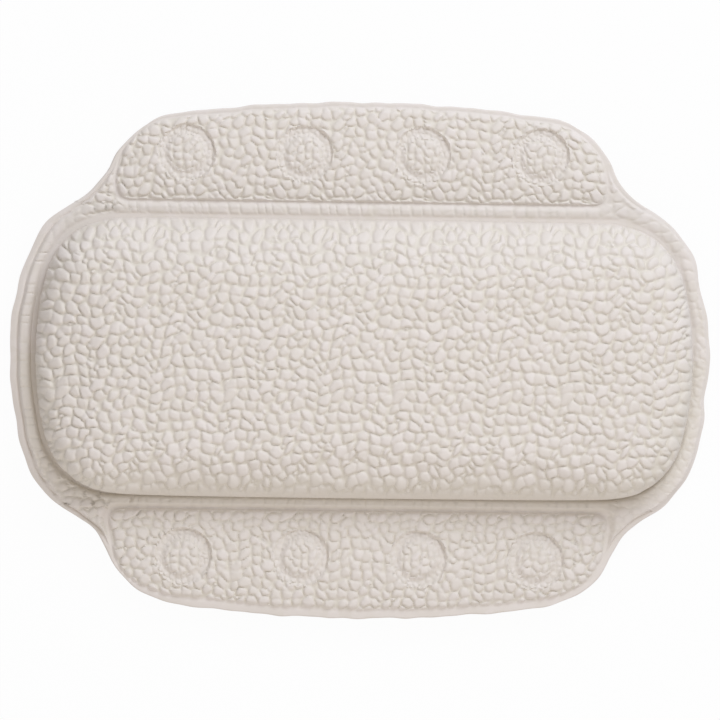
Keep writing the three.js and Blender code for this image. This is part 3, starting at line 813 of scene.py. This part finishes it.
def pad_pocket(plain, half):
    """Height of the cover's inner side over the pad, squeezed down under the rings."""
    x, y = plain[..., 0], plain[..., 1]
    panel = weld_lines(x, y, half)[2]
    thickness = PAD_THICKNESS * quarter_round((panel - PAD_MARGIN) / PAD_ROUND)
    for ring_x in RING_X:
        out = np.hypot(x - ring_x - RING_OFF, y - RING_ROW) - RING_RADIUS
        squeezed = PAD_SQUEEZE * (1 - smooth(out, SQUEEZE_START, SQUEEZE_END))
        thickness = np.minimum(thickness, PAD_THICKNESS - squeezed)
    return SEAM + thickness


def hang_on_fold(piece):
    """Bakes the sheet's placement into its points; nothing here bends it at the fold."""
    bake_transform(piece)


for half, side in ((1, "upper"), (-1, "lower")):
    flap = border_shell(side + "_flap_cover", half, TUCK, 1, embossed, pad_pocket)
    shade(flap, cover_vinyl)
    hang_on_fold(flap)
    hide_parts(side + "_flap_front_cover")

# Flap pads: a thin sheet of the same foam in each flap, cut to the flap's weld and lying in the pocket that
# the weld leaves between cover and back film. The rings squeeze it thin.

PAD_CLEAR = 0.00012

for half, side in ((1, "upper"), (-1, "lower")):
    bm = bmesh.new()
    plain, cut = (border_plan(half, done, TUCK)[1][::2, ::2] for done in (False, True))
    made = lay_grid(bm, cut, half, pad_pocket(plain, half) - PAD_CLEAR)
    outside = pad_pocket(plain, half).ravel() < SEAM + 3 * PAD_CLEAR
    bmesh.ops.delete(bm, geom=[vert for vert, out in zip(made, outside) if out], context="VERTS")
    skirt = bmesh.ops.extrude_edge_only(bm, edges=[edge for edge in bm.edges if edge.is_boundary])["geom"]
    for part in skirt:
        if isinstance(part, bmesh.types.BMVert):
            part.co.z = SEAM + PAD_CLEAR
    bmesh.ops.contextual_create(bm, geom=[edge for edge in bm.edges if edge.is_boundary])
    bmesh.ops.recalc_face_normals(bm, faces=bm.faces[:])
    pad = piece_from(bm, side + "_flap_foam")
    shade(pad, foam)
    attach(pad, side + "_flap")
    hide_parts(side + "_flap_foam_pad")

# Back film: a plain calendered vinyl sheet, welded to the cover round the hem, the flaps and the cushion.
# It bellies out under the cushion with small puckers off the weld, and runs on over the flaps, which on the
# pillow bend at their folds; here they are laid flat.

FILM = 0.0008
FILM_PRESS, FILM_PRESS_WIDTH = 0.0003, 0.0009
FILM_GAP = 0.00003
PUCKER, PUCKER_REACH = 0.0005, 0.020
RIPPLE = 0.00010


def film_finish():
    """Smooth cream vinyl with a satin face, a faint calender grain and slow ripples."""
    material, nodes, links, shader = new_finish("plain_vinyl_film")
    shader.inputs["Specular IOR Level"].default_value = 0.45
    place = nodes.new("ShaderNodeTexCoord")
    clouds = nodes.new("ShaderNodeTexNoise")
    clouds.inputs["Scale"].default_value = 35
    clouds.inputs["Detail"].default_value = 4
    colours = nodes.new("ShaderNodeValToRGB")
    colours.color_ramp.elements[0].color = (0.735, 0.675, 0.615, 1)
    colours.color_ramp.elements[1].color = (0.775, 0.712, 0.660, 1)
    colours.color_ramp.elements[0].position = 0.3
    colours.color_ramp.elements[1].position = 0.7
    shine = nodes.new("ShaderNodeMapRange")
    shine.inputs["To Min"].default_value = 0.30
    shine.inputs["To Max"].default_value = 0.46
    grain = nodes.new("ShaderNodeTexNoise")
    grain.inputs["Scale"].default_value = 1400
    grain.inputs["Detail"].default_value = 2
    bump = nodes.new("ShaderNodeBump")
    bump.inputs["Distance"].default_value = 0.00004
    bump.inputs["Strength"].default_value = 0.5
    links.new(place.outputs["Object"], clouds.inputs["Vector"])
    links.new(place.outputs["Object"], grain.inputs["Vector"])
    links.new(clouds.outputs["Fac"], colours.inputs["Fac"])
    links.new(colours.outputs["Color"], shader.inputs["Base Color"])
    links.new(clouds.outputs["Fac"], shine.inputs["Value"])
    links.new(shine.outputs["Result"], shader.inputs["Roughness"])
    links.new(grain.outputs["Fac"], bump.inputs["Height"])
    links.new(bump.outputs["Normal"], shader.inputs["Normal"])
    return material


def pressed(distance):
    return FILM_PRESS * np.exp(-((distance / FILM_PRESS_WIDTH) ** 2))


def plain_back(plain, cut, half):
    x, y = plain[..., 0], plain[..., 1]
    _, hem, panel, weld, _ = weld_lines(x, y, half)
    ripple = RIPPLE * np.sin(190 * x + 2.2 * np.sin(140 * y)) * smooth(panel, 0.003, 0.012)
    return (SEAM - FILM + pressed(panel) + pressed(weld) + 0.6 * pressed(hem) + ripple,)


def level_top(plain, half):
    return np.full(plain.shape[:2], SEAM - FILM_GAP)


back_film = film_finish()
belly = bag_half("cushion_back_film", False)
subdivide(belly, 1)
skin = points_of(belly.data)
depth = -past_weld(skin[:, 0], skin[:, 1])
turn = np.arctan2(skin[:, 1], skin[:, 0])
long_side = np.abs(skin[:, 1]) > 0.8 * np.abs(skin[:, 0]) * CUSHION_EDGE / CUSHION_END
rim_way = np.where(long_side, skin[:, 0], skin[:, 1])
folds = np.sin(520 * rim_way + 3 * np.sin(130 * rim_way + 5 * turn)) * np.sin(47 * rim_way + 1.3)
near_weld = smooth(depth, 0.0005, 0.004) * (1 - smooth(depth, 0.006, PUCKER_REACH))
skin[:, 2] -= (FILM - pressed(depth)) * (1 - smooth(depth, 0.001, 0.012)) - PUCKER * folds * near_weld
skin[:, 2] = np.maximum(skin[:, 2], LEAST_HEIGHT)
put_points(belly.data, skin)
wall = belly.modifiers.new("film", "SOLIDIFY")
wall.thickness = FILM - FILM_GAP
wall.offset = -1
apply_modifiers(belly)
shade(belly, back_film)
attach(belly, "cushion")
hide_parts("centre_back_sheet")

for half, side in ((1, "upper"), (-1, "lower")):
    film = border_shell(side + "_flap_back_film", half, 0.0, 2, plain_back, level_top)
    shade(film, back_film)
    hang_on_fold(film)
    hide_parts(side + "_flap_back_sheet")

# Suction cups: four on each flap, moulded in clear soft vinyl. A thin bell with a flat rim grips the tub, and
# a round flange on a short neck is welded to the back film, which prints the rings on the cover.

CUP_RADIUS, CUP_HEIGHT = 0.018, 0.010
CUP_DISH, CUP_RIM, CUP_LIP = 0.0068, 0.0015, 0.0009
CUP_NECK, CUP_FLANGE, CUP_FLANGE_THICKNESS = 0.006, 0.014, 0.0012
CUP_ROUND, CUP_SHOULDER = 0.0003, 0.0006
CUP_DISH_BEND, CUP_BELL_BEND = 0.0115, (0.0135, 0.0072)
CUP_CURVE, CUP_TURNS = 16, 72


def clear_vinyl_finish():
    """Clear soft vinyl with a slight haze and the fine swirls of its mould."""
    material, nodes, links, shader = new_finish("clear_soft_vinyl")
    shader.inputs["Transmission Weight"].default_value = 0.88
    shader.inputs["IOR"].default_value = 1.45
    place = nodes.new("ShaderNodeTexCoord")
    haze = nodes.new("ShaderNodeTexNoise")
    haze.inputs["Scale"].default_value = 120
    haze.inputs["Detail"].default_value = 3
    colours = nodes.new("ShaderNodeValToRGB")
    colours.color_ramp.elements[0].color = (0.90, 0.92, 0.91, 1)
    colours.color_ramp.elements[1].color = (0.97, 0.98, 0.97, 1)
    shine = nodes.new("ShaderNodeMapRange")
    shine.inputs["To Min"].default_value = 0.10
    shine.inputs["To Max"].default_value = 0.24
    bump = nodes.new("ShaderNodeBump")
    bump.inputs["Distance"].default_value = 0.0001
    bump.inputs["Strength"].default_value = 0.3
    links.new(place.outputs["Object"], haze.inputs["Vector"])
    links.new(haze.outputs["Fac"], colours.inputs["Fac"])
    links.new(colours.outputs["Color"], shader.inputs["Base Color"])
    links.new(haze.outputs["Fac"], shine.inputs["Value"])
    links.new(shine.outputs["Result"], shader.inputs["Roughness"])
    links.new(haze.outputs["Fac"], bump.inputs["Height"])
    links.new(bump.outputs["Normal"], shader.inputs["Normal"])
    return material


def bowed(start, bend, end, count):
    """Points of a curve from start to end that leans towards bend."""
    shares = np.linspace(0, 1, count)
    return [tuple((1 - t) ** 2 * a + 2 * t * (1 - t) * b + t**2 * c for a, b, c in zip(start, bend, end))
            for t in shares]


def cup_section():
    """Radius and height of points round one side of a cup, from the dish's middle to the flange's middle."""
    flange_low = CUP_HEIGHT - CUP_FLANGE_THICKNESS
    shoulder = flange_low - CUP_SHOULDER
    dish = bowed((0, CUP_DISH), (CUP_DISH_BEND, CUP_DISH), (CUP_RADIUS - CUP_RIM, 0), CUP_CURVE)
    rim = [(CUP_RADIUS - CUP_ROUND, 0), (CUP_RADIUS, CUP_ROUND), (CUP_RADIUS, CUP_LIP - CUP_ROUND)]
    bell = bowed((CUP_RADIUS - CUP_ROUND, CUP_LIP), CUP_BELL_BEND, (CUP_NECK, shoulder), CUP_CURVE)
    neck = [(CUP_NECK - CUP_ROUND, shoulder + CUP_ROUND), (CUP_NECK, flange_low)]
    flange = [(CUP_FLANGE - CUP_ROUND, flange_low), (CUP_FLANGE, flange_low + CUP_ROUND),
              (CUP_FLANGE, CUP_HEIGHT - CUP_ROUND), (CUP_FLANGE - CUP_ROUND, CUP_HEIGHT), (0, CUP_HEIGHT)]
    return dish + rim + bell + neck + flange


clear_vinyl = clear_vinyl_finish()
for side in ("upper", "lower"):
    for number in range(1, 5):
        low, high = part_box(f"{side}_suction_cup_{number}")
        middle = (low + high) / 2
        bm = bmesh.new()
        section = cup_section()
        tip = bm.verts.new((middle.x, middle.y, low.z + section[0][1]))
        for radius, height in section[1:]:
            tip = bmesh.ops.extrude_vert_indiv(bm, verts=[tip])["verts"][0]
            tip.co = (middle.x + radius, middle.y, low.z + height)
        bmesh.ops.spin(bm, geom=bm.verts[:] + bm.edges[:], cent=(middle.x, middle.y, 0), axis=(0, 0, 1),
                       angle=2 * math.pi, steps=CUP_TURNS, use_merge=True)
        bmesh.ops.remove_doubles(bm, verts=bm.verts[:], dist=1e-6)
        bmesh.ops.recalc_face_normals(bm, faces=bm.faces[:])
        cup = piece_from(bm, f"{side}_cup_{number}")
        shade(cup, clear_vinyl)
        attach(cup, side + "_flap")
        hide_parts(f"{side}_suction_cup_{number}")

bpy.data.objects.remove(bag)

# Studio: a pale floor under the pillow, seen from almost straight above with a long lens, and soft light
# from the upper right.

FLOOR_SIZE, FLOOR_LOW, FLOOR_WHITE = 6.0, 0.0005, 0.965
CAMERA_AWAY = 1.9
VIEW_WIDTH = 0.3394
LEAN_X, LEAN_Y, ROLL = math.radians(-1.0), math.radians(3.5), math.radians(0.75)
AIM = (-0.0013, -0.0014, 0.012)

bm = bmesh.new()
bmesh.ops.create_grid(bm, x_segments=4, y_segments=4, size=FLOOR_SIZE / 2)
floor = piece_from(bm, "floor")
floor.data.transform(Matrix.Translation((0, 0, -FLOOR_LOW)))
paper, nodes, links, shader = new_finish("white_paper")
shader.inputs["Base Color"].default_value = (0.72, 0.72, 0.72, 1)
shader.inputs["Roughness"].default_value = 0.9
rays = nodes.new("ShaderNodeLightPath")
seen = nodes.new("ShaderNodeMath")
seen.operation = "MAXIMUM"
seen_through = nodes.new("ShaderNodeMath")
seen_through.operation = "MAXIMUM"
white = nodes.new("ShaderNodeEmission")
white.inputs["Strength"].default_value = 1.0
pick = nodes.new("ShaderNodeMixShader")
share = nodes.new("ShaderNodeMath")
share.operation = "MULTIPLY"
share.inputs[1].default_value = FLOOR_WHITE
links.new(rays.outputs["Is Camera Ray"], seen.inputs[0])
links.new(rays.outputs["Is Glossy Ray"], seen.inputs[1])
links.new(seen.outputs[0], seen_through.inputs[0])
links.new(rays.outputs["Is Transmission Ray"], seen_through.inputs[1])
links.new(seen_through.outputs[0], share.inputs[0])
links.new(share.outputs[0], pick.inputs["Fac"])
links.new(shader.outputs["BSDF"], pick.inputs[1])
links.new(white.outputs["Emission"], pick.inputs[2])
links.new(pick.outputs["Shader"], nodes["Material Output"].inputs["Surface"])
floor.data.materials.append(paper)


def lamp(name, place, size, power, colour):
    light = bpy.data.lights.new(name, "AREA")
    light.color = colour
    light.shape = "DISK"
    light.size = size
    light.energy = power
    lit = bpy.data.objects.new(name, light)
    lit.location = place
    toward = -lit.location
    lit.rotation_euler = toward.to_track_quat("-Z", "Y").to_euler()
    lit.visible_camera = False
    bpy.context.scene.collection.objects.link(lit)


lamp("key", (0.57, 1.19, 1.06), 1.0, 17.0, (0.84, 0.895, 1.0))
lamp("bounce", (0.00, -1.20, 0.72), 1.0, 4.0, (1.0, 0.94, 0.88))
lamp("overhead", (0.05, 0.00, 0.36), 0.2, 0.09, (1.0, 0.96, 0.94))
world = bpy.data.worlds.new("studio")
world.use_nodes = True
world.node_tree.nodes["Background"].inputs["Color"].default_value = (1.0, 0.948, 0.965, 1)
world.node_tree.nodes["Background"].inputs["Strength"].default_value = 0.520
bpy.context.scene.world = world

lens = bpy.data.cameras.new("camera")
lens.sensor_width = 36
lens.lens = 36 * CAMERA_AWAY / VIEW_WIDTH
lens.clip_end = 20
camera = bpy.data.objects.new("camera", lens)
toward_camera = (math.tan(LEAN_X), math.tan(LEAN_Y), 1)
backward = Vector(toward_camera).normalized()
rightward = Vector((math.cos(ROLL), math.sin(ROLL), 0))
rightward = (rightward - backward * rightward.dot(backward)).normalized()
camera.location = Vector(AIM) + backward * CAMERA_AWAY
camera.rotation_euler = Matrix((rightward, backward.cross(rightward), backward)).transposed().to_euler()
bpy.context.scene.collection.objects.link(camera)
bpy.context.scene.camera = camera
bpy.context.scene.view_settings.view_transform = "Standard"
